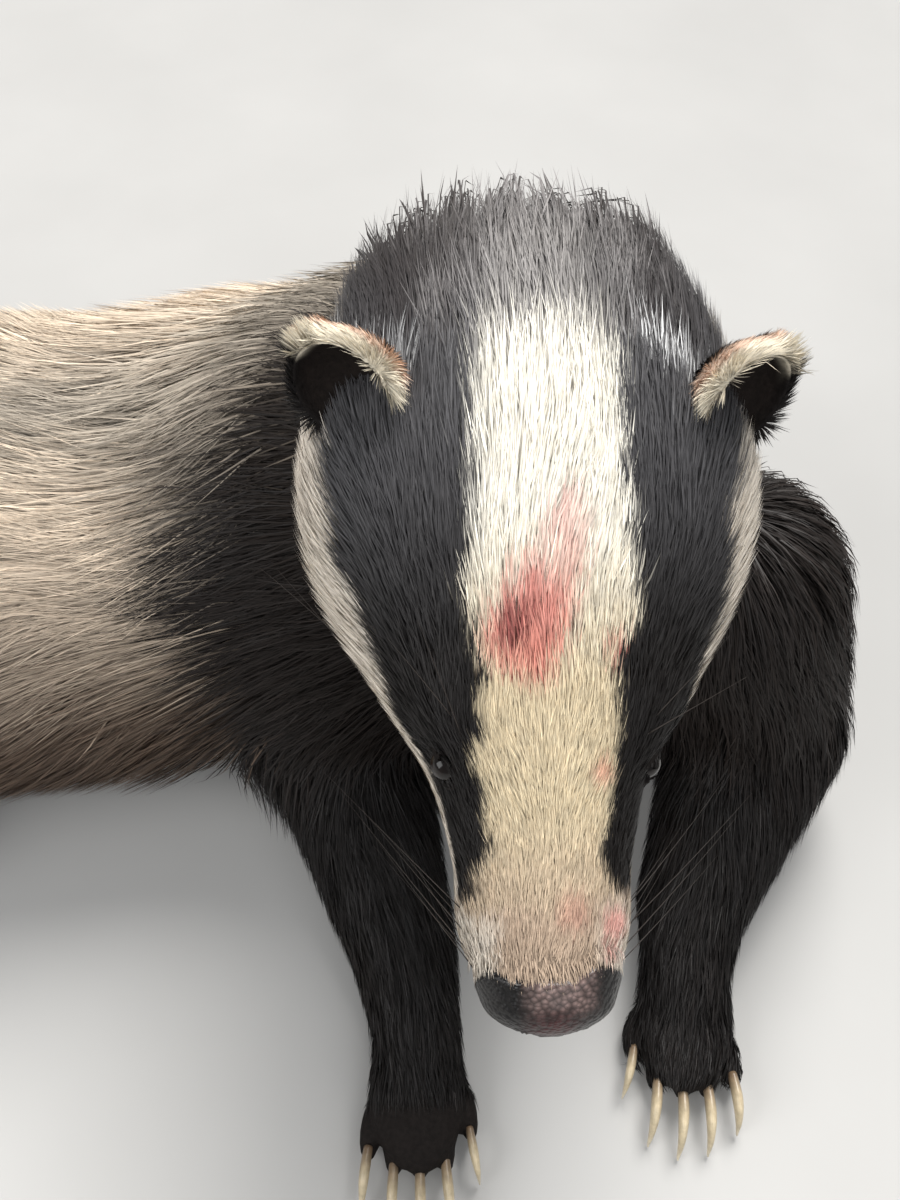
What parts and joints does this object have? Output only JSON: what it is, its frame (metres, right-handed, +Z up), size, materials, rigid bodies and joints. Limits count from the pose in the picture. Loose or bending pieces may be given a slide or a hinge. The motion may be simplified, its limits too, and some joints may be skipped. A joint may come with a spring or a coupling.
{
  "type": "european badger",
  "caption": "Life-size still model of an adult European badger lying with its forelegs stretched out and its striped head raised, for display.",
  "frame": {"origin": "middle of the bounding box, on the floor that the badger lies on", "axes": "+X along the trunk, from the tail towards the shoulders; -Y the way the muzzle and forelegs point; +Z up"},
  "size_m": [0.8046, 0.4454, 0.3008],
  "materials": {
    "black_fur": "blackish-brown fur of neck, legs, ears and paws",
    "white_fur": "short cream-white fur of the head, which carries two black stripes",
    "grey_coat": "long grizzled grey and cream guard hair",
    "nose_leather": "pebbled dark grey-brown skin, slightly moist",
    "claw_horn": "ivory to horn-coloured claw, satin",
    "dark_eye": "glossy dark brown eye"
  },
  "bodies": {
    "root": {"claw_forepaw_left_1": "claw_horn", "claw_forepaw_left_2": "claw_horn", "claw_forepaw_left_3": "claw_horn", "claw_forepaw_left_4": "claw_horn", "claw_forepaw_left_5": "claw_horn", "claw_forepaw_right_1": "claw_horn", "claw_forepaw_right_2": "claw_horn", "claw_forepaw_right_3": "claw_horn", "claw_forepaw_right_4": "claw_horn", "claw_forepaw_right_5": "claw_horn", "claw_hindpaw_left_1": "claw_horn", "claw_hindpaw_left_2": "claw_horn", "claw_hindpaw_left_3": "claw_horn", "claw_hindpaw_left_4": "claw_horn", "claw_hindpaw_left_5": "claw_horn", "claw_hindpaw_right_1": "claw_horn", "claw_hindpaw_right_2": "claw_horn", "claw_hindpaw_right_3": "claw_horn", "claw_hindpaw_right_4": "claw_horn", "claw_hindpaw_right_5": "claw_horn", "ear_left": "black_fur", "ear_right": "black_fur", "eye_left": "dark_eye", "eye_right": "dark_eye", "foreleg_left": "black_fur", "foreleg_right": "black_fur", "forepaw_left": "black_fur", "forepaw_right": "black_fur", "head": "white_fur", "hindleg_left": "black_fur", "hindleg_right": "black_fur", "hindpaw_left": "black_fur", "hindpaw_right": "black_fur", "lower_jaw": "white_fur", "neck": "black_fur", "nose": "nose_leather", "tail": "grey_coat", "torso": "grey_coat"}
  },
  "joints": []
}
